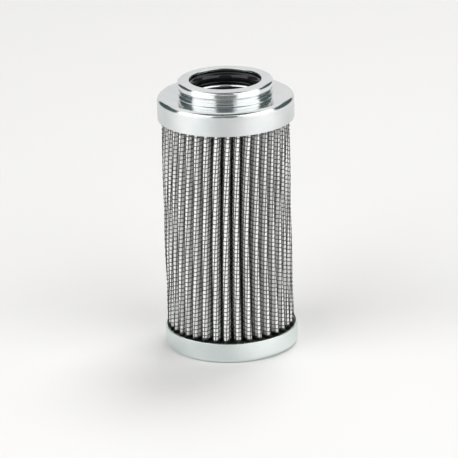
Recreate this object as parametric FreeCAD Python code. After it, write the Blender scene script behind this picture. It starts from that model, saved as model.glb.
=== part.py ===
import FreeCAD, Part
import math
import os

# Hydraulic filter element, stood on its closed end. Two drawn steel caps hold a pleated pack of
# filter medium between wire cloths, cast into resin at both ends, round a perforated core tube.
# The open neck holds an O-ring that seals on the housing's spigot.
# Millimetres. +Z runs up the axis, and the origin is the centre of the face that it stands on.

# The housing's spigot that the element slides onto, and the O-ring that seals on it
spigot_diameter = 22.0
seal_bite = 0.1
seal_cord = 4.15
seal_clearance = 0.03
seal_lip_gap = 0.32
seal_side_gap = 0.4

# Top cap
overall_height = 95.5
top_cap_sheet = 0.8
top_cap_pack_clearance = 0.45
top_skirt_height = 8.1
top_corner_radius = 1.7
neck_top_radius = 1.1
neck_foot_bend = 0.4
mouth_spigot_gap = 1.4
mouth_edge_radius = 0.25

# Rolled groove round the neck: a ledge above the shoulder, a floor and a collar over it
groove_ledge_height = 1.2
groove_low_side = 0.2
groove_floor_length = 0.7
groove_high_side = 0.75
groove_depth = 0.5
groove_bend = 0.18
collar_step = 0.2
collar_low_radius = 0.7

# Seat ring under the seal, whose collar guides the spigot
spigot_guide_clearance = 0.1
seat_ring_sheet = 0.8
seat_ring_bend = 1.1
seat_ring_inner_bend = 0.1
seat_collar_length = 3.8
seat_ring_edge_clearance = 0.1

# Bottom cap
bottom_cap_sheet = 0.7
bottom_cap_pack_clearance = 0.15
bottom_cap_height = 7.2
bottom_corner_radius = 1.6
boss_rise = 1.8
boss_edge_radius = 1.0
boss_foot_radius = 0.1
rim_edge_radius = 0.2

# Core tube
core_wall = 0.6
core_collar_clearance = 0.12
core_boss_clearance = 0.15
core_hole_diameter = 5.0
core_holes_in_row = 6
core_rows = 9
core_end_margin = 5.0

# Resin beds
bottom_resin_depth = 6.1
top_resin_depth = 4.6

# Pleated pack
pleats = 36
pack_diameter = 44.5
pack_core_clearance = 0.05
fold_half_gap = 0.16
support_mesh_thickness = 0.28
medium_thickness = 0.34
outer_mesh_thickness = 0.34
flank_angle = 72.0
fold_flat_angle = 60.0
crease_radius = 0.42

# Weave of the outer cloth: upright wires stand proud, and openings show the medium
wire_height = 0.2
wire_half_width = 0.14
wire_pitch = 1.45
wires_on_flank = 1
opening_width = 1.06
openings_in_pleat = 3
opening_bar = 2.4

# Clip over the sheet's joined ends
seam_direction = 90.0
clip_sheet = 0.2
clip_knee_clearance = 0.1

# Places that follow from the sizes above
seal_inner_radius = spigot_diameter / 2 - seal_bite
neck_foot_inner = seal_inner_radius + seal_cord + seal_side_gap
neck_foot_radius = neck_foot_inner + top_cap_sheet
neck_radius = neck_foot_radius + collar_step
mouth_radius = spigot_diameter / 2 + mouth_spigot_gap
lip_under_z = overall_height - top_cap_sheet
shoulder_z = lip_under_z - seal_lip_gap - seal_cord - seal_clearance
groove_ledge_z = shoulder_z + groove_ledge_height
groove_low_z = groove_ledge_z + groove_low_side
groove_high_z = groove_low_z + groove_floor_length
collar_low_z = groove_high_z + groove_high_side
top_skirt_z = shoulder_z - top_skirt_height
top_plate_under_z = shoulder_z - top_cap_sheet
top_cap_radius = pack_diameter / 2 + top_cap_pack_clearance + top_cap_sheet
guide_radius = spigot_diameter / 2 + spigot_guide_clearance
guide_outer_radius = guide_radius + seat_ring_sheet
seat_under_z = shoulder_z - seat_ring_sheet
core_inner_radius = guide_outer_radius + core_collar_clearance
core_outer_radius = core_inner_radius + core_wall
bottom_cap_radius = pack_diameter / 2 + bottom_cap_pack_clearance + bottom_cap_sheet
boss_radius = core_inner_radius - core_boss_clearance
bottom_resin_z = bottom_cap_sheet + bottom_resin_depth
top_resin_z = top_plate_under_z - top_resin_depth


def rounded_outline(corners):
    """Closed edge loop through (radius, height, bend) corners, each bend a tangent arc."""
    points = [FreeCAD.Vector(r, 0, z) for r, z, bend in corners]
    count = len(points)
    joins = []
    for i, (r, z, bend) in enumerate(corners):
        here = points[i]
        before = (points[i - 1] - here).normalize()
        after = (points[(i + 1) % count] - here).normalize()
        if bend == 0:
            joins.append((here, None, here))
            continue
        half = before.getAngle(after) / 2
        setback = bend / math.tan(half)
        middle = (before + after).normalize() * (bend / math.sin(half) - bend)
        joins.append((here + before * setback, here + middle, here + after * setback))
    edges = []
    for i, (start, middle, end) in enumerate(joins):
        if middle is not None:
            edges.append(Part.Arc(start, middle, end).toShape())
        following = joins[(i + 1) % count][0]
        if end.distanceToPoint(following) > 1e-6:
            edges.append(Part.LineSegment(end, following).toShape())
    return Part.Wire(edges)


def turned(corners):
    face = Part.Face(rounded_outline(corners))
    return face.revolve(FreeCAD.Vector(0, 0, 0), FreeCAD.Vector(0, 0, 1), 360)


def make_top_end_cap():
    sheet = top_cap_sheet
    groove_radius = neck_radius - groove_depth
    outside = [
        (top_cap_radius, top_skirt_z, 0),
        (top_cap_radius, shoulder_z, top_corner_radius),
        (neck_foot_radius, shoulder_z, neck_foot_bend),
        (neck_foot_radius, groove_ledge_z, groove_bend),
        (groove_radius, groove_low_z, groove_bend),
        (groove_radius, groove_high_z, groove_bend),
        (neck_radius, collar_low_z, collar_low_radius),
        (neck_radius, overall_height, neck_top_radius),
        (mouth_radius, overall_height, mouth_edge_radius),
    ]
    inside = [
        (mouth_radius, lip_under_z, 0),
        (neck_radius - sheet, lip_under_z, 0),
        (neck_radius - sheet, collar_low_z, 0),
        (groove_radius - sheet, groove_high_z, groove_bend),
        (groove_radius - sheet, groove_low_z, groove_bend),
        (neck_foot_inner, groove_ledge_z, 0),
        (neck_foot_inner, top_plate_under_z, neck_foot_bend + sheet),
        (top_cap_radius - sheet, top_plate_under_z, top_corner_radius - sheet),
        (top_cap_radius - sheet, top_skirt_z, 0),
    ]
    return turned(outside + inside)


def make_seal_seat_ring():
    rim = neck_foot_inner - seat_ring_edge_clearance
    foot_z = shoulder_z - seat_collar_length
    return turned([
        (rim, shoulder_z, 0),
        (guide_radius, shoulder_z, seat_ring_bend),
        (guide_radius, foot_z, 0),
        (guide_outer_radius, foot_z, 0),
        (guide_outer_radius, seat_under_z, seat_ring_inner_bend),
        (rim, seat_under_z, 0),
    ])


def make_neck_o_ring():
    cord_radius = seal_cord / 2
    centre = FreeCAD.Vector(0, 0, shoulder_z + seal_clearance + cord_radius)
    return Part.makeTorus(seal_inner_radius + cord_radius, cord_radius, centre)


def make_bottom_end_cap():
    sheet = bottom_cap_sheet
    recess_radius = boss_radius - sheet
    return turned([
        (0, boss_rise, 0),
        (recess_radius, boss_rise, boss_edge_radius - sheet),
        (recess_radius, 0, boss_foot_radius + sheet),
        (bottom_cap_radius, 0, bottom_corner_radius),
        (bottom_cap_radius, bottom_cap_height, rim_edge_radius),
        (bottom_cap_radius - sheet, bottom_cap_height, rim_edge_radius),
        (bottom_cap_radius - sheet, sheet, bottom_corner_radius - sheet),
        (boss_radius, sheet, boss_foot_radius),
        (boss_radius, boss_rise + sheet, boss_edge_radius),
        (0, boss_rise + sheet, 0),
    ])


def make_perforated_core():
    bottom = bottom_cap_sheet
    height = seat_under_z - bottom
    base = FreeCAD.Vector(0, 0, bottom)
    tube = Part.makeCylinder(core_outer_radius, height, base)
    tube = tube.cut(Part.makeCylinder(core_inner_radius, height, base))
    first = bottom_resin_z + core_end_margin
    row_pitch = (top_resin_z - core_end_margin - first) / (core_rows - 1)
    step = 360 / core_holes_in_row
    punch_length = core_outer_radius + core_wall
    punches = []
    for row in range(core_rows):
        start = FreeCAD.Vector(0, 0, first + row * row_pitch)
        for hole in range(core_holes_in_row):
            turn = math.radians((hole + row % 2 / 2) * step)
            direction = FreeCAD.Vector(math.cos(turn), math.sin(turn), 0)
            punches.append(Part.makeCylinder(core_hole_diameter / 2, punch_length, start, direction))
    return tube.cut(punches)


def make_top_resin():
    wall = top_cap_radius - top_cap_sheet
    return turned([
        (core_outer_radius, top_resin_z, 0),
        (wall, top_resin_z, 0),
        (wall, top_plate_under_z, top_corner_radius - top_cap_sheet),
        (core_outer_radius, top_plate_under_z, 0),
    ])


def make_bottom_resin():
    wall = bottom_cap_radius - bottom_cap_sheet
    return turned([
        (core_outer_radius, bottom_cap_sheet, 0),
        (wall, bottom_cap_sheet, bottom_corner_radius - bottom_cap_sheet),
        (wall, bottom_resin_z, 0),
        (core_outer_radius, bottom_resin_z, 0),
    ])


# The pleats. Each pleat bends round a tip centre near the outside and a fold centre near the core. Its
# flanks spread from the tip to a knee, and from the knee its legs stand close beside the next pleat's.
# The faces of the three sheets are parallel to each other: a face that lies far from the tip centre
# lies close to the fold centre.
stack = support_mesh_thickness + medium_thickness + outer_mesh_thickness
reach = stack + 2 * fold_half_gap
outer_tip = fold_half_gap + stack
tip_centre = pack_diameter / 2 - outer_tip - wire_height
half_pitch = 180 / pleats
leg_normal = half_pitch + 90

# The folds stand round the core, or further out where the pleats would crowd each other there
fold_room = outer_tip / math.cos(math.radians(90 - fold_flat_angle) / 2)
least_fold_centre = fold_room / math.sin(math.radians(half_pitch))
fold_centre = max(core_outer_radius + pack_core_clearance + outer_tip, least_fold_centre)


def polar(centre, distance, angle):
    turn = math.radians(angle)
    return FreeCAD.Vector(centre.x + distance * math.cos(turn), centre.y + distance * math.sin(turn), 0)


def mirrored(point):
    return FreeCAD.Vector(point.x, -point.y, 0)


origin = FreeCAD.Vector(0, 0, 0)
tip = FreeCAD.Vector(tip_centre, 0, 0)
fold = polar(origin, fold_centre, half_pitch)


def bend_points(centre, distance, normals):
    """Corners between the flats that touch a circle, given the directions that the flats face."""
    points = []
    for first, second in zip(normals, normals[1:]):
        half = math.radians(second - first) / 2
        points.append(polar(centre, distance / math.cos(half), (first + second) / 2))
    return points


def flank_point(distance, along):
    """The point on a flank's face at a given place along the pleat's own centre line."""
    start = polar(tip, distance, flank_angle)
    slope = math.radians(flank_angle + 90)
    return FreeCAD.Vector(along, start.y + (along - start.x) * math.tan(slope), 0)


def knee_point(distance):
    """The corner where a flank, set out from the tip centre, meets a leg, set out from the fold centre."""
    start = polar(tip, distance, flank_angle)
    leg = polar(fold, distance - reach, leg_normal)
    facing = polar(origin, 1, leg_normal)
    inward = polar(origin, 1, flank_angle + 90)
    return start + inward * ((leg - start).dot(facing) / inward.dot(facing))


def tip_points(distance):
    knee = knee_point(distance)
    return [mirrored(knee)] + bend_points(tip, distance, [-flank_angle, 0, flank_angle]) + [knee]


def wired_tip_points(distance):
    """The outer face of a tip and its flanks, with the upright wires that stand on it."""
    corner, knee = tip_points(distance)[2:]
    crest = tip_points(distance + wire_height)[2]
    sideways = FreeCAD.Vector(0, wire_half_width, 0)
    inward = polar(origin, wire_half_width, flank_angle + 90)
    rise = polar(origin, wire_height, flank_angle)
    side = [corner - sideways, crest - sideways, crest, crest + inward, corner + inward]
    for number in range(1, wires_on_flank + 1):
        middle = corner + polar(origin, number * wire_pitch, flank_angle + 90)
        side += [middle - inward, middle - inward + rise, middle + inward + rise, middle + inward]
    side.append(knee)
    return [mirrored(p) for p in reversed(side)] + side


def fold_points(distance):
    turns = [90, fold_flat_angle, 0, -fold_flat_angle, -90]
    if distance <= crease_radius:
        turns = [90, 0, -90]
    return bend_points(fold, distance, [half_pitch + 180 + turn for turn in turns])


def turned_points(points, pleat):
    placement = FreeCAD.Rotation(FreeCAD.Vector(0, 0, 1), seam_direction + pleat * 360 / pleats)
    return [placement.multVec(p) for p in points]


def folded_face(tip_distance, wired=False):
    """One face of a folded sheet, from one end of the sheet to the other."""
    fold_distance = reach - tip_distance
    start = [flank_point(tip_distance, tip_centre), knee_point(tip_distance)]
    tip_outline = wired_tip_points(tip_distance) if wired else tip_points(tip_distance)
    points = turned_points(start + fold_points(fold_distance), 0)
    for pleat in range(1, pleats):
        points += turned_points(tip_outline + fold_points(fold_distance), pleat)
    return points + turned_points([mirrored(p) for p in reversed(start)], pleats)


def prism(points, bottom, top):
    closed = [FreeCAD.Vector(p.x, p.y, bottom) for p in points]
    wire = Part.makePolygon(closed + closed[:1])
    return Part.Face(wire).extrude(FreeCAD.Vector(0, 0, top - bottom))


def folded_sheet(inner_distance, thickness, wired=False):
    outer = folded_face(inner_distance + thickness, wired)
    inner = folded_face(inner_distance)
    return prism(outer + inner[::-1], bottom_resin_z, top_resin_z)


def make_inner_support_mesh():
    return folded_sheet(fold_half_gap, support_mesh_thickness)


def make_filter_medium():
    return folded_sheet(fold_half_gap + support_mesh_thickness, medium_thickness)


def make_outer_wire_mesh():
    cloth = folded_sheet(outer_tip - outer_mesh_thickness, outer_mesh_thickness, wired=True)
    bare_length = top_skirt_z - bottom_cap_height
    window = (bare_length - (openings_in_pleat + 1) * opening_bar) / openings_in_pleat
    depth = outer_mesh_thickness + 2 * wire_height
    inner_x = tip_centre + outer_tip - outer_mesh_thickness - wire_height
    cutters = []
    for pleat in range(1, pleats):
        for row in range(openings_in_pleat):
            low = bottom_cap_height + opening_bar + row * (window + opening_bar)
            corner = FreeCAD.Vector(inner_x, -opening_width / 2, low)
            cutter = Part.makeBox(depth, opening_width, window, corner)
            cutter.rotate(origin, FreeCAD.Vector(0, 0, 1), seam_direction + pleat * 360 / pleats)
            cutters.append(cutter)
    return cloth.cut(cutters)


def make_side_seam_clip():
    """A strip folded over the sheet's two ends, its legs flat against the outer cloth."""
    toe = knee_point(outer_tip).x + clip_knee_clearance
    faces = []
    for distance in (outer_tip, outer_tip + clip_sheet):
        start = flank_point(distance, toe)
        bends = bend_points(tip, distance, [-flank_angle, 0, flank_angle])
        faces.append([mirrored(start)] + bends + [start])
    outline = turned_points(faces[1] + faces[0][::-1], 0)
    return prism(outline, bottom_resin_z, top_resin_z)


nodes = {
    "top_end_cap": make_top_end_cap,
    "seal_seat_ring": make_seal_seat_ring,
    "neck_o_ring": make_neck_o_ring,
    "bottom_end_cap": make_bottom_end_cap,
    "perforated_core": make_perforated_core,
    "top_resin": make_top_resin,
    "bottom_resin": make_bottom_resin,
    "outer_wire_mesh": make_outer_wire_mesh,
    "filter_medium": make_filter_medium,
    "inner_support_mesh": make_inner_support_mesh,
    "side_seam_clip": make_side_seam_clip,
}

os.makedirs("parts", exist_ok=True)
for name, make in nodes.items():
    make().exportStep("parts/" + name + ".step")
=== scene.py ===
import math
import random

import bmesh
import bpy
from mathutils import Matrix, Vector


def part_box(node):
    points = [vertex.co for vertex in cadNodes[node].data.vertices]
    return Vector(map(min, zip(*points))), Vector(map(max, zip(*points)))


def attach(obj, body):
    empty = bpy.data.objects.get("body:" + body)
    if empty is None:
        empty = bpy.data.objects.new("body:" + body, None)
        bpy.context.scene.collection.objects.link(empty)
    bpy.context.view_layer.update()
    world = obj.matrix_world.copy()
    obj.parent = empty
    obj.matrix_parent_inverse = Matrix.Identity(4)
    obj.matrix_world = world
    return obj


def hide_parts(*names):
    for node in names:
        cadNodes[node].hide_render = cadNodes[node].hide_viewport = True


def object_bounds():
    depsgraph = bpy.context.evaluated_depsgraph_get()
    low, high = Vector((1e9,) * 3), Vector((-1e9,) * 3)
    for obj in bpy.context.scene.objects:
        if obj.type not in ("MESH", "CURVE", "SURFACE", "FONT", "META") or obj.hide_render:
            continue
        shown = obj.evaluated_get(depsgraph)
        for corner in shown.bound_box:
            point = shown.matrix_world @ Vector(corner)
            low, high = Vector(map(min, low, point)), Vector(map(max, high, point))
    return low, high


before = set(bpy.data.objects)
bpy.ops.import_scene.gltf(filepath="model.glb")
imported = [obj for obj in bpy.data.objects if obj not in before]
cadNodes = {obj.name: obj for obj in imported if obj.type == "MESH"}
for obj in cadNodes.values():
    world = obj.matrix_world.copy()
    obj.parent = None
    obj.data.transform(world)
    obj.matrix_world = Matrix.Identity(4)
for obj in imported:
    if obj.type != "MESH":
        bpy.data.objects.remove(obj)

# Hydraulic filter element: two drawn steel caps with a pleated pack under woven wire cloth between them,
# and an O-ring in the open neck
cadLow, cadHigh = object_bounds()
mm = 0.001
packLow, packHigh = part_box("outer_wire_mesh")
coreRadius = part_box("perforated_core")[1].x / mm
print("frame loaded:", len(cadNodes), "pieces")


# Pleats. The lengths are along the middle of the outer cloth, in millimetres, and the angles in degrees.
pleatPack = {
    "pleatCount": 36,
    "tipBend": 0.9,           # bend radius at a pleat's tip
    "kneeBend": 0.85,         # at the knee, where the steep leg begins
    "foldBend": 0.33,         # and at a fold beside the core
    "flankAngle": 77.0,       # a tip turns this far before its flanks run straight to the knees
    "flankLength": 2.45,      # from the end of the tip's bend to the corner that the knee rounds off
    "tipInset": 0.27,         # from the pack's edge in to the cloth's middle
    "foldInset": 1.17,        # from the core tube out to the centre of a fold
    "seamInset": 0.2,         # each end of the sheet stops this far from the bend of its pleat's tip
    "leanBottom": -4.6,       # how far the front pleats lean round the axis at the bottom
    "leanRise": 1.2,          # what the lean gains up to the top, evenly
    "leanCurve": 5.0,         # and ever faster
    "fan": 1.9,               # they spread from each other at the bottom
    "spreadBottom": -0.4,     # the side pleats crowd towards the front by this at the bottom
    "spreadRise": -7.4,       # and by this more at the top
    "wander": 0.55,           # each pleat also wanders by about this, times a share of its own
    "wanderShare": (0.4, 1.2),
    "wanderLength": (60.0, 150.0),
    "sink": 0.05,             # and its tip lies in by up to this
    "push": (0.15, 0.2),      # the tips stand this far to the left, and this much more at half height
    "seed": 7,
}


def facing(angle):
    return Vector((math.cos(angle), math.sin(angle)))


# Half a pleat as flat lengths: the tip's bend, the flank, the knee, the leg and the fold
def measurePleat(pack):
    halfPitch = math.pi / pack["pleatCount"]
    flankNormal = math.radians(pack["flankAngle"])
    tip = Vector((packHigh.x / mm - pack["tipInset"] - pack["tipBend"], 0))
    fold = (coreRadius + pack["foldInset"]) * facing(halfPitch)
    downFlank = facing(flankNormal + math.pi / 2)
    corner = tip + pack["tipBend"] * facing(flankNormal) + pack["flankLength"] * downFlank
    fromFold = corner - fold
    legNormal = math.atan2(fromFold.y, fromFold.x) + math.acos(-pack["foldBend"] / fromFold.length)
    setBack = pack["kneeBend"] * math.tan((legNormal - flankNormal) / 2)
    knee = corner - downFlank * setBack - pack["kneeBend"] * facing(flankNormal)
    ends = [pack["tipBend"] * flankNormal]
    ends.append(ends[-1] + pack["flankLength"] - setBack)
    ends.append(ends[-1] + pack["kneeBend"] * (legNormal - flankNormal))
    ends.append(ends[-1] + math.sqrt(fromFold.length_squared - pack["foldBend"] ** 2) - setBack)
    ends.append(ends[-1] + pack["foldBend"] * (legNormal - halfPitch))
    return {
        "halfPitch": halfPitch,
        "flankNormal": flankNormal,
        "legNormal": legNormal,
        "tip": tip,
        "knee": knee,
        "fold": fold,
        "ends": ends,
        "halfLength": ends[-1],
    }


pleat = measurePleat(pleatPack)
pleatLength = 2 * pleat["halfLength"]
sheetStart = pleat["halfLength"] + pleat["ends"][0] + pleatPack["seamInset"]
sheetEnd = pleatPack["pleatCount"] * pleatLength + pleatLength - sheetStart
lowZ = packLow.z / mm
highZ = packHigh.z / mm
draw = random.Random(pleatPack["seed"])
pleatWander = []
for index in range(pleatPack["pleatCount"]):
    pleatWander.append((
        draw.uniform(*pleatPack["wanderShare"]) * pleatPack["wander"],
        draw.uniform(*pleatPack["wanderLength"]),
        draw.uniform(0, 2 * math.pi),
        draw.uniform(0, 1) * pleatPack["sink"],
    ))
pleatWander[0] = (0.0, pleatPack["wanderLength"][0], 0.0, 0.0)      # the seam pleat stays under its clip
print("pleats:", pleatPack["pleatCount"], "of", round(pleatLength, 2), "mm")


def pleatWay(index, height):
    size, length, phase, sink = pleatWander[index % pleatPack["pleatCount"]]
    return size * math.sin(2 * math.pi * height / length + phase), sink


# A place on half a pleat, walked from its tip, and the direction that the cloth faces there
def onPleat(walk, out):
    tipEnd, flankEnd, kneeEnd, legEnd, foldEnd = pleat["ends"]
    if walk <= flankEnd:
        turn = min(walk / pleatPack["tipBend"], pleat["flankNormal"])
        centre, bend, straight = pleat["tip"], pleatPack["tipBend"], max(0.0, walk - tipEnd)
    elif walk <= legEnd:
        turn = min(pleat["flankNormal"] + (walk - flankEnd) / pleatPack["kneeBend"], pleat["legNormal"])
        centre, bend, straight = pleat["knee"], pleatPack["kneeBend"], max(0.0, walk - kneeEnd)
    else:
        turn = pleat["legNormal"] - (walk - legEnd) / pleatPack["foldBend"]
        centre, bend, straight = pleat["fold"], -pleatPack["foldBend"], 0.0
    return centre + (bend + out) * facing(turn) + straight * facing(turn + math.pi / 2), facing(turn)


# A place on the folded sheet: along it, up it, and out from the middle of the outer cloth
def onSheet(along, height, out):
    index = int(along // pleatLength)
    fromTip = along - (index + 0.5) * pleatLength
    side = 1 if fromTip >= 0 else -1
    (x, y), (normalX, normalY) = onPleat(abs(fromTip), out)
    rise = (height - lowZ) / (highZ - lowZ)
    ahead = index + math.atan2(side * y, x) / (2 * pleat["halfPitch"])     # in pleats from the seam
    first = math.floor(ahead)
    blend = ahead - first
    blend = blend * blend * (3 - 2 * blend)
    wanderOne, sinkOne = pleatWay(first, height)
    wanderTwo, sinkTwo = pleatWay(first + 1, height)
    front = ahead * 2 * pleat["halfPitch"] + math.pi       # zero at the front of the pack
    lean = pleatPack["leanBottom"] + (pleatPack["leanRise"] + pleatPack["leanCurve"] * rise) * rise
    lean += pleatPack["fan"] * math.sin(2 * front) * (1 - rise) ** 2
    lean *= (1 + math.cos(front)) / 2
    lean += (pleatPack["spreadBottom"] + pleatPack["spreadRise"] * rise) * math.sin(front) ** 3
    lean += wanderOne + (wanderTwo - wanderOne) * blend
    fromFold = (x - pleat["fold"].x) / (pleat["tip"].x - pleat["fold"].x)
    x -= (sinkOne + (sinkTwo - sinkOne) * blend) * fromFold
    turn = math.pi / 2 + index * 2 * pleat["halfPitch"] + math.radians(lean)
    cosine, sine = math.cos(turn), math.sin(turn)
    y *= side
    normalY *= side
    place = Vector((x * cosine - y * sine, x * sine + y * cosine, height))
    push = pleatPack["push"][0] + pleatPack["push"][1] * math.sin(math.pi * rise)
    place.x -= push * max(0.0, fromFold)
    normal = Vector((normalX * cosine - normalY * sine, normalX * sine + normalY * cosine, 0))
    return place * mm, normal


# Stations along the sheet that follow its bends
def bendStations(tipSteps, flankSteps, legSteps):
    tipEnd, flankEnd, kneeEnd, legEnd, foldEnd = pleat["ends"]
    walks = [tipEnd * step / tipSteps for step in range(tipSteps)]
    walks += [tipEnd + (flankEnd - tipEnd) * step / flankSteps for step in range(flankSteps)]
    walks += [flankEnd, kneeEnd]
    walks += [kneeEnd + (legEnd - kneeEnd) * step / legSteps for step in range(1, legSteps + 1)]
    walks += [(legEnd + foldEnd) / 2, foldEnd]
    stations = []
    for index in range(pleatPack["pleatCount"] + 1):
        middle = (index + 0.5) * pleatLength
        stations += [middle - walk for walk in reversed(walks)] + [middle + walk for walk in walks[1:-1]]
    return [station for station in stations if sheetStart < station < sheetEnd]


def meshObject(name, bm):
    mesh = bpy.data.meshes.new(name)
    bm.to_mesh(mesh)
    bm.free()
    thing = bpy.data.objects.new(name, mesh)
    bpy.context.scene.collection.objects.link(thing)
    return thing


def newPiece(name, bm, replaced):
    piece = meshObject(name, bm)
    for face in piece.data.polygons:
        face.use_smooth = True
    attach(piece, "root")
    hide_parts(replaced)
    return piece


# Wire cloth on the outside of the pack, woven flat and laid on the folded sheet
wireCloth = {
    "rowPitch": 1.518,
    "uprightPitch": 1.44,     # about, as whole pitches go into a pleat
    "wireRadius": 0.128,
    "lift": 0.08,             # how far a wire rises over the one that it crosses
    "skew": 0.0495,           # the uprights cross the pleats at this slope
    "sides": 4,
    "inStep": 64.2,           # the height at which an upright runs over each pleat's tip
    "endGap": 1.7,            # the last uprights stand at least this far in from the sheet's ends
    "tipSteps": 3,
    "flankSteps": 1,
    "legSteps": 1,
    "ringGap": 0.2,           # a bend this near to a crossing, in pitches, gets no ring of its own
    "bands": ("low", "high"),
}
uprightPitch = pleatLength / round(pleatLength / wireCloth["uprightPitch"])


def drift(height):
    return wireCloth["skew"] * (height - wireCloth["inStep"])


# One wire as a subdivided tube, one unit long. A vertex's height in it gives its ring, and the rings are
# then set along the wire's line.
def addWire(cloth, rings):
    radius = wireCloth["wireRadius"] * mm
    wire = bmesh.new()
    bmesh.ops.create_cone(wire, cap_ends=True, cap_tris=False, segments=wireCloth["sides"],
                          radius1=radius, radius2=radius, depth=1.0)
    longEdges = [edge for edge in wire.edges if abs(edge.verts[0].co.z - edge.verts[1].co.z) > 0.5]
    bmesh.ops.subdivide_edges(wire, edges=longEdges, cuts=len(rings) - 2)
    for vert in wire.verts:
        place, outward, across = rings[round((vert.co.z + 0.5) * (len(rings) - 1))]
        vert.co = place + outward * vert.co.x + across * vert.co.y
    mesh = bpy.data.meshes.new("wire")
    wire.to_mesh(mesh)
    wire.free()
    cloth.from_mesh(mesh)
    bpy.data.meshes.remove(mesh)


rowCount = int((highZ - lowZ) / wireCloth["rowPitch"])
firstRow = lowZ + (highZ - lowZ - (rowCount - 1) * wireCloth["rowPitch"]) / 2
leastUpright = sheetStart + wireCloth["endGap"] - drift(lowZ)
mostUpright = sheetEnd - wireCloth["endGap"] - drift(highZ)
leftOut = math.ceil((leastUpright - pleatLength / 2) / uprightPitch)
firstUpright = pleatLength / 2 + leftOut * uprightPitch
uprightCount = 1 + int((mostUpright - firstUpright) / uprightPitch)
upAxis = Vector((0, 0, 1))


def rowRings(row):
    height = firstRow + row * wireCloth["rowPitch"]
    crossings = [firstUpright + uprightPitch * column + drift(height) for column in range(uprightCount)]
    stations = crossings + [sheetStart, sheetEnd]
    nearest = uprightPitch * wireCloth["ringGap"]
    for bend in bendStations(wireCloth["tipSteps"], wireCloth["flankSteps"], wireCloth["legSteps"]):
        column = round((bend - crossings[0]) / uprightPitch)
        if abs(bend - crossings[0] - column * uprightPitch) > nearest:
            stations.append(bend)
    rings = []
    for along in sorted(stations):
        column = (along - crossings[0]) / uprightPitch
        lift = wireCloth["lift"] * math.cos(math.pi * (column + row))
        place, normal = onSheet(along, height, lift)
        rings.append((place, normal, upAxis))
    return rings


def uprightRings(column):
    rings = []
    heights = [lowZ] + [firstRow + row * wireCloth["rowPitch"] for row in range(rowCount)] + [highZ]
    for number, height in enumerate(heights):
        along = firstUpright + column * uprightPitch + drift(height)
        lift = -wireCloth["lift"] * math.cos(math.pi * (column + number - 1))
        place, normal = onSheet(along, height, lift)
        rings.append((place, normal, upAxis.cross(normal)))
    return rings


bandCount = len(wireCloth["bands"])
rowPieces = []
for band, bandName in enumerate(wireCloth["bands"]):
    cloth = bmesh.new()
    for row in range(rowCount * band // bandCount, rowCount * (band + 1) // bandCount):
        addWire(cloth, rowRings(row))
    rowPieces.append(newPiece("cloth_rows_" + bandName, cloth, "outer_wire_mesh"))
cloth = bmesh.new()
for column in range(uprightCount):
    addWire(cloth, uprightRings(column))
uprightPiece = newPiece("cloth_uprights", cloth, "outer_wire_mesh")
print("wire cloth:", rowCount, "rows and", uprightCount, "uprights")


# Folded sheets behind the outer cloth: the white medium, and the fine cloth on its clean side
foldedSheets = {
    "medium": {"out": -0.17, "thickness": 0.34, "rows": 26, "tipSteps": 5, "flankSteps": 2, "legSteps": 3},
    "innerCloth": {"out": -0.51, "thickness": 0.28, "rows": 20, "tipSteps": 3, "flankSteps": 1,
                   "legSteps": 2},
}


def foldedSheet(name, sheet, replaced):
    stations = bendStations(sheet["tipSteps"], sheet["flankSteps"], sheet["legSteps"])
    stations = [sheetStart] + stations + [sheetEnd]
    flat = bmesh.new()
    bmesh.ops.create_grid(flat, x_segments=len(stations) - 1, y_segments=sheet["rows"], size=0.5)
    uvLayer = flat.loops.layers.uv.new("flatSheet")
    spots = {}
    for vert in flat.verts:
        along = stations[round((vert.co.x + 0.5) * (len(stations) - 1))]
        height = lowZ + (vert.co.y + 0.5) * (highZ - lowZ)
        spots[vert] = (along, height)
        vert.co = onSheet(along, height, sheet["out"])[0]
    for face in flat.faces:
        for loop in face.loops:
            along, height = spots[loop.vert]
            loop[uvLayer].uv = (
                (along - firstUpright - drift(height)) / uprightPitch,
                (height - firstRow) / wireCloth["rowPitch"],
            )
    bmesh.ops.solidify(flat, geom=flat.faces[:], thickness=sheet["thickness"] * mm)
    return newPiece(name, flat, replaced)


mediumPiece = foldedSheet("pleated_medium", foldedSheets["medium"], "filter_medium")
innerPiece = foldedSheet("pleated_inner_cloth", foldedSheets["innerCloth"],
                         "inner_support_mesh")
print("folded sheets done")


# Shader helpers
def newNode(tree, kind, **settings):
    node = tree.nodes.new(kind)
    for key, value in settings.items():
        setattr(node, key, value)
    return node


# Sets a number or a colour on the socket itself, and links anything else to it
def feed(tree, socket, value):
    if isinstance(value, (int, float)):
        socket.default_value = value
    elif isinstance(value, tuple):
        socket.default_value = (*value, 1)
    else:
        tree.links.new(value, socket)


def mathNode(tree, operation, *values, clamp=False):
    node = newNode(tree, "ShaderNodeMath", operation=operation, use_clamp=clamp)
    for socket, value in zip(node.inputs, values):
        feed(tree, socket, value)
    return node.outputs[0]


def mapRange(tree, value, low, high, toLow, toHigh):
    node = newNode(tree, "ShaderNodeMapRange", interpolation_type="SMOOTHSTEP")
    tree.links.new(value, node.inputs["Value"])
    node.inputs["From Min"].default_value = low
    node.inputs["From Max"].default_value = high
    node.inputs["To Min"].default_value = toLow
    node.inputs["To Max"].default_value = toHigh
    return node.outputs["Result"]


def mixColour(tree, factor, first, second):
    node = newNode(tree, "ShaderNodeMix", data_type="RGBA")
    feed(tree, node.inputs["Factor"], factor)
    feed(tree, node.inputs[6], first)       # inputs 6 and 7 are its colours, and output 2 is their mix
    feed(tree, node.inputs[7], second)
    return node.outputs[2]


def noiseNode(tree, place, scale, detail=2):
    node = newNode(tree, "ShaderNodeTexNoise", noise_dimensions="3D")
    node.inputs["Detail"].default_value = detail
    tree.links.new(place, node.inputs["Vector"])
    feed(tree, node.inputs["Scale"], scale)
    return node.outputs[0]


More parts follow.
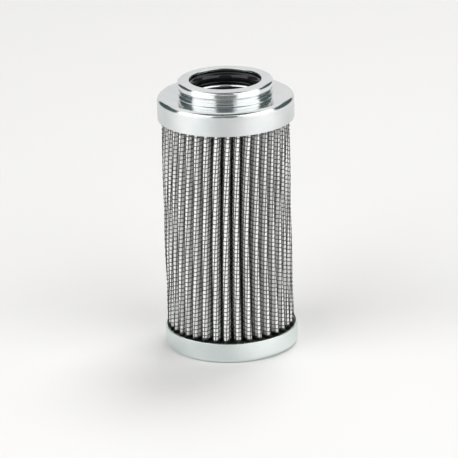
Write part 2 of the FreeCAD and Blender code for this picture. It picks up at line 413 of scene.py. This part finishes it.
# A new node group that takes a place and some numbers
def newGroup(name, numbersIn, numbersOut):
    group = bpy.data.node_groups.new(name, "ShaderNodeTree")
    group.interface.new_socket(name="Vector", in_out="INPUT", socket_type="NodeSocketVector")
    for socketName in numbersIn:
        group.interface.new_socket(name=socketName, in_out="INPUT", socket_type="NodeSocketFloat")
    for socketName in numbersOut:
        group.interface.new_socket(name=socketName, in_out="OUTPUT", socket_type="NodeSocketFloat")
    return group, newNode(group, "NodeGroupInput"), newNode(group, "NodeGroupOutput")


# Faint drawing marks that run round a turned piece, with soft blotches
drawnLook = {
    "stretch": 0.0006,        # how fast the marks change on the way round
    "markDetail": 4,
    "blotchDetail": 3,
}


def buildDrawnMarks():
    group, start, end = newGroup("drawnMarks", ("Mark Scale", "Blotch Scale"), ("Marks", "Blotches"))
    parts = newNode(group, "ShaderNodeSeparateXYZ")
    group.links.new(start.outputs["Vector"], parts.inputs[0])
    across = mathNode(group, "MULTIPLY", parts.outputs["X"], parts.outputs["X"])
    along = mathNode(group, "MULTIPLY", parts.outputs["Y"], parts.outputs["Y"])
    radius = mathNode(group, "SQRT", mathNode(group, "ADD", across, along))
    turn = mathNode(group, "ARCTAN2", parts.outputs["Y"], parts.outputs["X"])
    ring = newNode(group, "ShaderNodeCombineXYZ")
    group.links.new(radius, ring.inputs["X"])
    group.links.new(parts.outputs["Z"], ring.inputs["Y"])
    group.links.new(mathNode(group, "MULTIPLY", turn, drawnLook["stretch"]), ring.inputs["Z"])
    marks = noiseNode(group, ring.outputs[0], start.outputs["Mark Scale"], drawnLook["markDetail"])
    blotches = noiseNode(group, start.outputs["Vector"], start.outputs["Blotch Scale"],
                         drawnLook["blotchDetail"])
    group.links.new(marks, end.inputs["Marks"])
    group.links.new(blotches, end.inputs["Blotches"])
    return group


# Fine specks of dust or grit, as a mask. A larger share lowers the noise level above which a speck shows.
speckLook = {"topLevel": 0.8, "shareReach": 0.5, "crispness": 12.0}


def buildSpecks():
    group, start, end = newGroup("specks", ("Scale", "Share"), ("Mask",))
    cells = noiseNode(group, start.outputs["Vector"], start.outputs["Scale"])
    reach = mathNode(group, "MULTIPLY", start.outputs["Share"], speckLook["shareReach"])
    edge = mathNode(group, "SUBTRACT", speckLook["topLevel"], reach)
    over = mathNode(group, "SUBTRACT", cells, edge)
    mask = mathNode(group, "MULTIPLY", over, speckLook["crispness"], clamp=True)
    group.links.new(mask, end.inputs["Mask"])
    return group


# The medium stands out a little in each mesh of the cloth: 1 in the middle of a mesh and 0 under the wires
def buildMeshPillows():
    group, start, end = newGroup("meshPillows", ("Fullness",), ("Height",))
    parts = newNode(group, "ShaderNodeSeparateXYZ")
    group.links.new(start.outputs["Vector"], parts.inputs[0])
    waves = []
    for axis in ("X", "Y"):
        wave = mathNode(group, "SINE", mathNode(group, "MULTIPLY", parts.outputs[axis], math.pi))
        waves.append(mathNode(group, "ABSOLUTE", wave))
    both = mathNode(group, "MULTIPLY", *waves)
    group.links.new(mathNode(group, "POWER", both, start.outputs["Fullness"]), end.inputs["Height"])
    return group


drawnMarks = buildDrawnMarks()
specks = buildSpecks()
meshPillows = buildMeshPillows()


def newMaterial(name):
    material = bpy.data.materials.new(name)
    material.use_nodes = True
    tree = material.node_tree
    shader = tree.nodes["Principled BSDF"]
    place = newNode(tree, "ShaderNodeTexCoord")
    return material, tree, shader, place.outputs["Object"]


def groupNode(tree, group, vector, **values):
    node = newNode(tree, "ShaderNodeGroup", node_tree=group)
    tree.links.new(vector, node.inputs["Vector"])
    for key, value in values.items():
        node.inputs[key].default_value = value
    return node


def marksNode(tree, place, look):
    scales = {"Mark Scale": look["markScale"], "Blotch Scale": look["blotchScale"]}
    return groupNode(tree, drawnMarks, place, **scales)


# Lays specks over a colour
def speckled(tree, place, colour, look):
    speck = groupNode(tree, specks, place, Scale=look["speckScale"], Share=look["speckShare"])
    cover = mathNode(tree, "MULTIPLY", speck.outputs["Mask"], look["speckStrength"])
    return mixColour(tree, cover, colour, look["speckColour"])


# The depth is in millimetres
def addBump(tree, shader, height, depth, strength):
    node = newNode(tree, "ShaderNodeBump")
    node.inputs["Distance"].default_value = depth * mm
    node.inputs["Strength"].default_value = strength
    tree.links.new(height, node.inputs["Height"])
    tree.links.new(node.outputs["Normal"], shader.inputs["Normal"])


# Zinc plating. Roughness is given below and above turnRange: the top cap is satin on its skirt, and bright
# from its upper corner on, where the shoulder and the neck were rolled.
zincFinish = {
    "topCap": {"light": (0.80, 0.815, 0.815), "dark": (0.71, 0.745, 0.745), "rough": (0.45, 0.15)},
    "bottomCap": {"light": (0.81, 0.865, 0.855), "dark": (0.72, 0.78, 0.77), "rough": (0.26, 0.26)},
    "seatRing": {"light": (0.84, 0.85, 0.845), "dark": (0.74, 0.77, 0.765), "rough": (0.16, 0.12)},
}
zincLook = {
    "markScale": 1400.0,
    "blotchScale": 60.0,
    "blotchRange": (0.35, 0.65),
    "speckScale": 1800.0,
    "speckShare": 0.18,
    "speckColour": (0.55, 0.56, 0.55),
    "speckStrength": 0.25,
    "turnRange": (88.1, 89.0),      # in millimetres up the element
    "grain": 0.06,
    "markDepth": 0.0012,
    "markStrength": 0.5,
}


def zincMaterial(name, finish):
    material, tree, shader, place = newMaterial(name)
    marks = marksNode(tree, place, zincLook)
    tone = mapRange(tree, marks.outputs["Blotches"], *zincLook["blotchRange"], 0, 1)
    colour = mixColour(tree, tone, finish["dark"], finish["light"])
    tree.links.new(speckled(tree, place, colour, zincLook), shader.inputs["Base Color"])
    shader.inputs["Metallic"].default_value = 1
    parts = newNode(tree, "ShaderNodeSeparateXYZ")
    tree.links.new(place, parts.inputs[0])
    turnLow, turnHigh = zincLook["turnRange"]
    base = mapRange(tree, parts.outputs["Z"], turnLow * mm, turnHigh * mm, *finish["rough"])
    grain = mathNode(tree, "SUBTRACT", marks.outputs["Marks"], 0.5)
    grain = mathNode(tree, "MULTIPLY", grain, zincLook["grain"])
    tree.links.new(mathNode(tree, "ADD", base, grain), shader.inputs["Roughness"])
    addBump(tree, shader, marks.outputs["Marks"], zincLook["markDepth"], zincLook["markStrength"])
    return material


# Black rubber with a moulded skin and a little oil on it
rubberLook = {
    "colour": (0.006, 0.006, 0.007),
    "bloom": (0.013, 0.014, 0.015),
    "bloomRange": (0.4, 0.75),
    "rough": (0.08, 0.14),
    "roughRange": (0.3, 0.7),
    "gloss": 0.5,
    "markScale": 700.0,
    "blotchScale": 110.0,
    "speckScale": 2600.0,
    "speckShare": 0.2,
    "speckColour": (0.16, 0.16, 0.15),
    "speckStrength": 0.4,
    "markDepth": 0.004,
    "markStrength": 0.4,
}


def rubberMaterial():
    material, tree, shader, place = newMaterial("sealRubber")
    marks = marksNode(tree, place, rubberLook)
    bloom = mapRange(tree, marks.outputs["Blotches"], *rubberLook["bloomRange"], 0, 1)
    colour = mixColour(tree, bloom, rubberLook["colour"], rubberLook["bloom"])
    tree.links.new(speckled(tree, place, colour, rubberLook), shader.inputs["Base Color"])
    rough = mapRange(tree, marks.outputs["Blotches"], *rubberLook["roughRange"], *rubberLook["rough"])
    tree.links.new(rough, shader.inputs["Roughness"])
    shader.inputs["Specular IOR Level"].default_value = rubberLook["gloss"]
    addBump(tree, shader, marks.outputs["Marks"], rubberLook["markDepth"], rubberLook["markStrength"])
    return material


# Bare steel of the core and the seam clip
steelFinish = {
    "core": {"light": (0.55, 0.56, 0.56), "dark": (0.36, 0.37, 0.37), "rough": (0.31, 0.47)},
    "clip": {"light": (0.62, 0.63, 0.63), "dark": (0.46, 0.47, 0.47), "rough": (0.27, 0.43)},
}
steelLook = {
    "markScale": 900.0,
    "blotchScale": 90.0,
    "blotchRange": (0.35, 0.65),
    "roughRange": (0.3, 0.7),
    "markDepth": 0.015,
    "markStrength": 0.5,
}


def steelMaterial(name, finish):
    material, tree, shader, place = newMaterial(name)
    marks = marksNode(tree, place, steelLook)
    tone = mapRange(tree, marks.outputs["Blotches"], *steelLook["blotchRange"], 0, 1)
    tree.links.new(mixColour(tree, tone, finish["dark"], finish["light"]), shader.inputs["Base Color"])
    shader.inputs["Metallic"].default_value = 1
    rough = mapRange(tree, marks.outputs["Marks"], *steelLook["roughRange"], *finish["rough"])
    tree.links.new(rough, shader.inputs["Roughness"])
    addBump(tree, shader, marks.outputs["Marks"], steelLook["markDepth"], steelLook["markStrength"])
    return material


# Coated wire: dark, with a slight sheen
wireLook = {
    "colour": (0.020, 0.021, 0.020),
    "worn": (0.070, 0.072, 0.068),
    "wornRange": (0.45, 0.75),
    "rough": (0.36, 0.52),
    "roughRange": (0.3, 0.7),
    "markScale": 600.0,
    "blotchScale": 420.0,
}


def coatedWireMaterial():
    material, tree, shader, place = newMaterial("coatedWire")
    marks = marksNode(tree, place, wireLook)
    worn = mapRange(tree, marks.outputs["Blotches"], *wireLook["wornRange"], 0, 1)
    colour = mixColour(tree, worn, wireLook["colour"], wireLook["worn"])
    tree.links.new(colour, shader.inputs["Base Color"])
    rough = mapRange(tree, marks.outputs["Marks"], *wireLook["roughRange"], *wireLook["rough"])
    tree.links.new(rough, shader.inputs["Roughness"])
    return material


# White glass-fibre medium, which stands out in each mesh, with painted shade beside the wires. Heights and
# depths are in millimetres.
mediumLook = {
    "colour": (0.90, 0.90, 0.89),
    "edge": (0.83, 0.83, 0.82),         # painted shade on the medium beside the wires
    "wireShadeRange": (0.15, 0.8),
    "fullness": 0.5,
    "soaked": (0.026, 0.034, 0.026),    # where resin has crept up into it
    "soakHeight": 6.8,                  # it has crept at least this high
    "soakWaver": 2.4,                   # and up to this much higher in places
    "soakBlur": 0.25,
    "creepScale": 420.0,
    "fibreScale": 2600.0,
    "fibreDetail": 3,
    "fibreDepth": 0.12,                 # as a share of the stand
    "rough": (0.72, 0.9),
    "roughRange": (0.3, 0.7),
    "stand": 0.05,
    "standStrength": 0.9,
}


def mediumMaterial():
    material, tree, shader, place = newMaterial("whiteMedium")
    flat = newNode(tree, "ShaderNodeUVMap", uv_map="flatSheet")
    pillow = groupNode(tree, meshPillows, flat.outputs[0], Fullness=mediumLook["fullness"])
    fibres = noiseNode(tree, place, mediumLook["fibreScale"], mediumLook["fibreDetail"])
    # Painted shade: the medium's colour darkens towards the wires
    middle = mapRange(tree, pillow.outputs["Height"], *mediumLook["wireShadeRange"], 0, 1)
    colour = mixColour(tree, middle, mediumLook["edge"], mediumLook["colour"])
    creep = noiseNode(tree, place, mediumLook["creepScale"])
    parts = newNode(tree, "ShaderNodeSeparateXYZ")
    tree.links.new(place, parts.inputs[0])
    waver = mathNode(tree, "MULTIPLY", creep, mediumLook["soakWaver"] * mm)
    level = mathNode(tree, "SUBTRACT", parts.outputs["Z"], waver)
    top = mediumLook["soakHeight"] * mm
    blur = mediumLook["soakBlur"] * mm
    soaked = mapRange(tree, level, top - blur, top + blur, 1, 0)
    tree.links.new(mixColour(tree, soaked, colour, mediumLook["soaked"]), shader.inputs["Base Color"])
    rough = mapRange(tree, fibres, *mediumLook["roughRange"], *mediumLook["rough"])
    tree.links.new(rough, shader.inputs["Roughness"])
    fuzz = mathNode(tree, "MULTIPLY", fibres, mediumLook["fibreDepth"])
    height = mathNode(tree, "ADD", pillow.outputs["Height"], fuzz)
    addBump(tree, shader, height, mediumLook["stand"], mediumLook["standStrength"])
    return material


# Fine bare wire cloth on the clean side. Colour and bump draw its weave.
innerClothLook = {
    "finer": 3.0,                       # its meshes to one of the outer cloth's
    "fullness": 0.8,
    "wireDark": (0.32, 0.33, 0.33),
    "wireLight": (0.5, 0.51, 0.5),
    "behind": (0.62, 0.62, 0.61),       # the medium that shows through its meshes
    "gapRange": (0.45, 0.7),
    "rough": (0.4, 0.85),
    "depth": 0.08,
    "depthStrength": 0.8,
    "markScale": 900.0,
    "blotchScale": 200.0,
}


def innerClothMaterial():
    material, tree, shader, place = newMaterial("innerCloth")
    flat = newNode(tree, "ShaderNodeUVMap", uv_map="flatSheet")
    finer = newNode(tree, "ShaderNodeVectorMath", operation="SCALE")
    finer.inputs["Scale"].default_value = innerClothLook["finer"]
    tree.links.new(flat.outputs[0], finer.inputs[0])
    pillow = groupNode(tree, meshPillows, finer.outputs[0], Fullness=innerClothLook["fullness"])
    marks = marksNode(tree, place, innerClothLook)
    wire = mixColour(tree, marks.outputs["Blotches"], innerClothLook["wireDark"],
                     innerClothLook["wireLight"])
    gaps = mapRange(tree, pillow.outputs["Height"], *innerClothLook["gapRange"], 0, 1)
    tree.links.new(mixColour(tree, gaps, wire, innerClothLook["behind"]), shader.inputs["Base Color"])
    metal = mapRange(tree, pillow.outputs["Height"], *innerClothLook["gapRange"], 1, 0)
    tree.links.new(metal, shader.inputs["Metallic"])
    rough = mapRange(tree, pillow.outputs["Height"], *innerClothLook["gapRange"], *innerClothLook["rough"])
    tree.links.new(rough, shader.inputs["Roughness"])
    lowered = mathNode(tree, "SUBTRACT", 1.0, pillow.outputs["Height"])
    addBump(tree, shader, lowered, innerClothLook["depth"], innerClothLook["depthStrength"])
    return material


# Casting resin: green-black and glossy
resinLook = {
    "colour": (0.020, 0.028, 0.024),
    "thin": (0.055, 0.062, 0.036),
    "thinRange": (0.4, 0.7),
    "rough": (0.26, 0.46),
    "roughRange": (0.3, 0.7),
    "flowScale": 260.0,
    "flowDetail": 4,
    "flowDepth": 0.25,
    "flowStrength": 0.7,
    "speckScale": 2200.0,
    "speckShare": 0.25,
    "speckColour": (0.12, 0.12, 0.08),
    "speckStrength": 0.3,
}


def resinMaterial():
    material, tree, shader, place = newMaterial("castingResin")
    flow = noiseNode(tree, place, resinLook["flowScale"], resinLook["flowDetail"])
    thin = mapRange(tree, flow, *resinLook["thinRange"], 0, 1)
    colour = mixColour(tree, thin, resinLook["colour"], resinLook["thin"])
    tree.links.new(speckled(tree, place, colour, resinLook), shader.inputs["Base Color"])
    rough = mapRange(tree, flow, *resinLook["roughRange"], *resinLook["rough"])
    tree.links.new(rough, shader.inputs["Roughness"])
    addBump(tree, shader, flow, resinLook["flowDepth"], resinLook["flowStrength"])
    return material


def paint(piece, material):
    piece.data.materials.clear()
    piece.data.materials.append(material)


paint(cadNodes["top_end_cap"], zincMaterial("zincTopCap", zincFinish["topCap"]))
paint(cadNodes["bottom_end_cap"], zincMaterial("zincBottomCap", zincFinish["bottomCap"]))
paint(cadNodes["seal_seat_ring"], zincMaterial("zincSeatRing", zincFinish["seatRing"]))
paint(cadNodes["neck_o_ring"], rubberMaterial())
paint(cadNodes["perforated_core"], steelMaterial("coreSteel", steelFinish["core"]))
paint(cadNodes["side_seam_clip"], steelMaterial("clipSteel", steelFinish["clip"]))
resin = resinMaterial()
paint(cadNodes["top_resin"], resin)
paint(cadNodes["bottom_resin"], resin)
wireCoat = coatedWireMaterial()
for piece in [*rowPieces, uprightPiece]:
    paint(piece, wireCoat)
paint(mediumPiece, mediumMaterial())
paint(innerPiece, innerClothMaterial())
print("materials done")


# Studio: pale floor, a softbox at each side and one behind, and the cards that only reflections show:
# glowing ones paint reflected light and highlights, dark ones paint dark reflections
studio = {
    "floorRadius": 6.0,
    "floorSides": 96,
    "floorColour": (0.755, 0.75, 0.74),
    "floorPaler": 1.02,       # the palest patches of the floor, against its colour
    "floorScale": 3.0,
    "floorRough": 0.7,
    "cardRough": 0.9,
    "backColour": (0.915, 0.912, 0.90),
    "fillLight": 0.2,
    "boxes": {
        "leftBox": {"azimuth": -52, "elevation": 33, "distance": 1.6, "size": (1.6, 1.4), "power": 20.5},
        "rightBox": {"azimuth": 46, "elevation": 33, "distance": 1.6, "size": (1.6, 1.4), "power": 17.5},
        "backBox": {"azimuth": 152, "elevation": 62, "distance": 1.6, "size": (0.7, 0.7), "power": 13.0},
    },
    "cards": {
        # Painted reflections: leftFront, rightFront and backCard glow only in reflections, standing for
        # softbox fronts and a pale wall behind
        "leftFront": {"azimuth": -58, "elevation": 32, "distance": 1.6, "size": (1.8, 1.4), "reflectionGlow": 1.5},
        "rightFront": {"azimuth": 58, "elevation": 32, "distance": 1.6, "size": (1.8, 1.4), "reflectionGlow": 1.55},
        # Painted highlights: leftCard and rightCard glow low beside the element and only brighten the
        # reflections on the neck's collar
        "leftCard": {"azimuth": -58, "elevation": -1, "distance": 0.22, "size": (0.24, 0.085),
                     "reflectionGlow": 1.32},
        "rightCard": {"azimuth": 58, "elevation": -1, "distance": 0.22, "size": (0.24, 0.085),
                      "reflectionGlow": 1.32},
        # Painted dark reflections: frontCard and the flags below are dark sheets that only reflections
        # show, darkening the neck, the collar, the shoulder and the skirt
        "frontCard": {"azimuth": 0, "elevation": -4, "distance": 0.266, "size": (0.25, 0.056),
                      "colour": (0.14, 0.15, 0.15)},
        "frontFlag": {"azimuth": -2, "elevation": 26, "distance": 1.7, "size": (1.25, 1.05),
                      "colour": (0.12, 0.14, 0.145)},
        "backCard": {"azimuth": 180, "elevation": 20, "distance": 1.7, "size": (2.0, 1.0), "reflectionGlow": 0.82},
        "highFlag": {"azimuth": 0, "elevation": 74, "distance": 1.5, "size": (3.2, 1.0),
                     "colour": (0.04, 0.055, 0.06)},
        "leftFlag": {"azimuth": -118, "elevation": 20, "distance": 1.7, "size": (1.9, 1.2),
                     "colour": (0.075, 0.11, 0.115)},
        "rightFlag": {"azimuth": 118, "elevation": 20, "distance": 1.7, "size": (1.9, 1.2),
                      "colour": (0.075, 0.11, 0.115)},
    },
}


# Stands a lamp or card on a sphere round the object, facing it. Azimuth 0 is in front, 90 to the right.
def faceObject(azimuth, elevation, distance):
    turn, lift = math.radians(azimuth), math.radians(elevation)
    away = Vector((math.sin(turn) * math.cos(lift), -math.cos(turn) * math.cos(lift), math.sin(lift)))
    middle = Vector((0, 0, (cadLow.z + cadHigh.z) / 2))
    return Matrix.Translation(middle + away * distance) @ away.to_track_quat("Z", "Y").to_matrix().to_4x4()


def makeFloor():
    bm = bmesh.new()
    bmesh.ops.create_circle(bm, cap_ends=True, cap_tris=True, segments=studio["floorSides"],
                            radius=studio["floorRadius"])
    floor = meshObject("studioFloor", bm)
    material, tree, shader, place = newMaterial("paleFloor")
    patches = noiseNode(tree, place, studio["floorScale"])
    paler = tuple(value * studio["floorPaler"] for value in studio["floorColour"])
    colour = mixColour(tree, patches, studio["floorColour"], paler)
    tree.links.new(colour, shader.inputs["Base Color"])
    shader.inputs["Roughness"].default_value = studio["floorRough"]
    paint(floor, material)
    return floor


# A card that only reflections show, so it paints reflections: a dark flag paints dark reflections, and a
# glowing one paints reflected light and highlights, as a softbox's front would
def makeCard(name, spot):
    bm = bmesh.new()
    bmesh.ops.create_grid(bm, x_segments=1, y_segments=1, size=0.5)
    bmesh.ops.scale(bm, vec=(*spot["size"], 1), verts=bm.verts)
    stand = faceObject(spot["azimuth"], spot["elevation"], spot["distance"])
    bmesh.ops.transform(bm, matrix=stand, verts=bm.verts)
    card = meshObject(name, bm)
    material, tree, shader, place = newMaterial(name + "Cloth")
    shader.inputs["Base Color"].default_value = (*spot.get("colour", (0.0, 0.0, 0.0)), 1)
    shader.inputs["Roughness"].default_value = studio["cardRough"]
    shader.inputs["Emission Color"].default_value = (1, 1, 1, 1)
    shader.inputs["Emission Strength"].default_value = spot.get("reflectionGlow", 0.0)
    paint(card, material)
    card.visible_camera = False
    card.visible_diffuse = False
    card.visible_shadow = False
    return card


def makeBox(name, spot):
    lamp = bpy.data.lights.new(name, "AREA")
    lamp.shape = "RECTANGLE"
    lamp.size, lamp.size_y = spot["size"]
    lamp.energy = spot["power"]
    box = bpy.data.objects.new(name, lamp)
    box.matrix_world = faceObject(spot["azimuth"], spot["elevation"], spot["distance"])
    bpy.context.scene.collection.objects.link(box)
    box.visible_camera = False
    box.visible_glossy = False


# The backdrop's colour is what the camera and reflections see. A dimmer white lights everything evenly.
def makeWorld():
    world = bpy.data.worlds.new("studioWorld")
    bpy.context.scene.world = world
    world.use_nodes = True
    tree = world.node_tree
    output = next(node for node in tree.nodes if node.type == "OUTPUT_WORLD")
    seen = newNode(tree, "ShaderNodeBackground")
    seen.inputs["Color"].default_value = (*studio["backColour"], 1)
    lit = tree.nodes["Background"]
    lit.inputs["Color"].default_value = (1, 1, 1, 1)
    lit.inputs["Strength"].default_value = studio["fillLight"]
    rays = newNode(tree, "ShaderNodeLightPath")
    shows = mathNode(tree, "ADD", rays.outputs["Is Camera Ray"], rays.outputs["Is Glossy Ray"])
    shows = mathNode(tree, "ADD", shows, rays.outputs["Is Transmission Ray"], clamp=True)
    mix = newNode(tree, "ShaderNodeMixShader")
    tree.links.new(shows, mix.inputs[0])
    tree.links.new(lit.outputs[0], mix.inputs[1])
    tree.links.new(seen.outputs[0], mix.inputs[2])
    tree.links.new(mix.outputs[0], output.inputs["Surface"])


makeFloor()
for name, spot in studio["cards"].items():
    makeCard(name, spot)
for name, spot in studio["boxes"].items():
    makeBox(name, spot)
makeWorld()
print("studio done")


# Camera at the photograph's angle, with its slight roll. The clip is in metres and the other lengths in
# millimetres.
cameraSpot = {
    "target": (-0.05, 0.0, 41.06),
    "distance": 1100.0,
    "elevation": 19.5,
    "roll": -1.55,
    "lens": 249.27,
    "sensor": 36.0,
    "clip": (0.05, 30.0),
}


def makeCamera():
    lift, roll = math.radians(cameraSpot["elevation"]), math.radians(cameraSpot["roll"])
    back = Vector((0, -math.cos(lift), math.sin(lift)))
    right = Vector((1, 0, 0))
    up = back.cross(right)
    across = right * math.cos(roll) + up * math.sin(roll)
    upward = up * math.cos(roll) - right * math.sin(roll)
    data = bpy.data.cameras.new("photoCamera")
    data.lens = cameraSpot["lens"]
    data.sensor_width = cameraSpot["sensor"]
    data.clip_start, data.clip_end = cameraSpot["clip"]
    camera = bpy.data.objects.new("photoCamera", data)
    turn = Matrix((across, upward, back)).transposed().to_4x4()
    place = (Vector(cameraSpot["target"]) + back * cameraSpot["distance"]) * mm
    camera.matrix_world = Matrix.Translation(place) @ turn
    bpy.context.scene.collection.objects.link(camera)
    bpy.context.scene.camera = camera


makeCamera()
bpy.context.scene.view_settings.view_transform = "Standard"
print("camera done")
